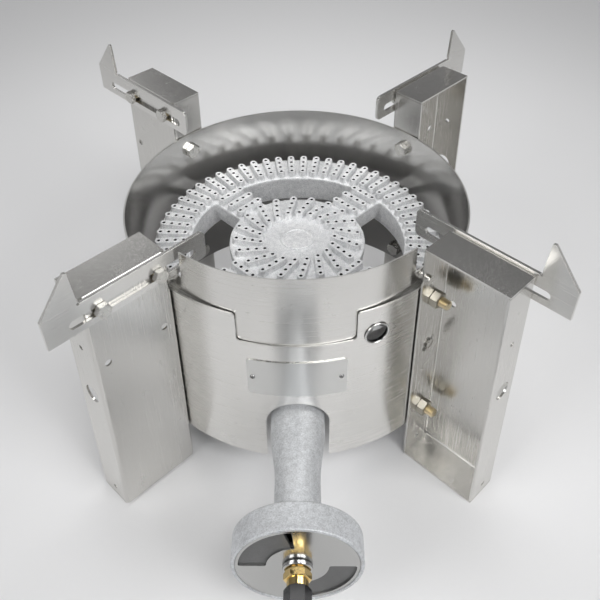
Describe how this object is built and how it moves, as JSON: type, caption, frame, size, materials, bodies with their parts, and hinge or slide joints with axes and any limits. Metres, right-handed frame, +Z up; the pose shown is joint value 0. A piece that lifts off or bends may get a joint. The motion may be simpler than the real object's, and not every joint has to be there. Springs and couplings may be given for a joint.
{
  "type": "floor-standing gas burner",
  "caption": "Floor-standing gas burner: a round wind ring on folded sheet legs, with slotted pot brackets that slide, a cast ported burner head and a venturi with an air shutter.",
  "frame": {"origin": "on the floor, on the axis of the wind ring", "axes": "+Z up; -Y along the venturi towards the gas inlet, which is the front; +X to the right of the front"},
  "size_m": [0.4454, 0.5753, 0.3078],
  "materials": {
    "ring_sheet": "stainless sheet, grain running round the ring",
    "leg_sheet": "stainless sheet, long brushed grain",
    "bracket_sheet": "stainless plate, grain along the bar",
    "plate_sheet": "satin stainless, bare",
    "bright_lip": "rolled and polished",
    "zinc_bolt": "bright zinc plate",
    "zinc_nut": "zinc plate with a pale yellow cast",
    "small_screw": "plain steel",
    "head_casting": "sand cast, coarse and silvery",
    "venturi_casting": "sand cast, coarse and silvery",
    "gasket": "dark sealing sheet",
    "shutter_sheet": "zinc-plated sheet, satin",
    "dull_steel": "turned steel",
    "brass": "bright machined brass",
    "black_fitting": "black finish, semi-gloss"
  },
  "bodies": {
    "stand": {"wind_ring": "ring_sheet", "front_shield": "ring_sheet", "name_plate": "plate_sheet", "plate_screws": "small_screw", "sight_eyelet": "bright_lip", "leg_front_left": "leg_sheet", "leg_front_right": "leg_sheet", "leg_back_right": "leg_sheet", "leg_back_left": "leg_sheet", "leg_bolts": "zinc_bolt", "leg_nuts": "zinc_nut", "bracket_bolts": "zinc_bolt", "bracket_nuts": "zinc_nut", "shield_spacers": "small_screw", "shield_screws": "zinc_bolt", "burner_head": "head_casting", "head_screws": "zinc_bolt", "flange_gasket": "gasket", "flange_bolts": "zinc_bolt", "venturi": "venturi_casting", "lock_nut": "dull_steel", "orifice_fitting": "brass", "inlet_coupling": "black_fitting"},
    "bracket_front_left": {"pot_bracket_front_left": "bracket_sheet"},
    "bracket_front_right": {"pot_bracket_front_right": "bracket_sheet"},
    "bracket_back_right": {"pot_bracket_back_right": "bracket_sheet"},
    "bracket_back_left": {"pot_bracket_back_left": "bracket_sheet"},
    "shutter": {"air_shutter": "shutter_sheet"}
  },
  "joints": [
    {"name": "slide_front_left", "type": "slide", "parent": "stand", "child": "bracket_front_left", "axis": [-0.7071, -0.7071, 0], "range_m": [-0.0245, 0.0345]},
    {"name": "slide_front_right", "type": "slide", "parent": "stand", "child": "bracket_front_right", "axis": [0.7071, -0.7071, 0], "range_m": [-0.0245, 0.0345]},
    {"name": "slide_back_right", "type": "slide", "parent": "stand", "child": "bracket_back_right", "axis": [0.7071, 0.7071, 0], "range_m": [-0.0355, 0.0235]},
    {"name": "slide_back_left", "type": "slide", "parent": "stand", "child": "bracket_back_left", "axis": [-0.7071, 0.7071, 0], "range_m": [-0.0355, 0.0235]},
    {"name": "shutter_turn", "type": "hinge", "parent": "stand", "child": "shutter", "pos_m": [0, -0.3036, 0.093], "axis": [0, -1, 0], "continuous": true}
  ]
}
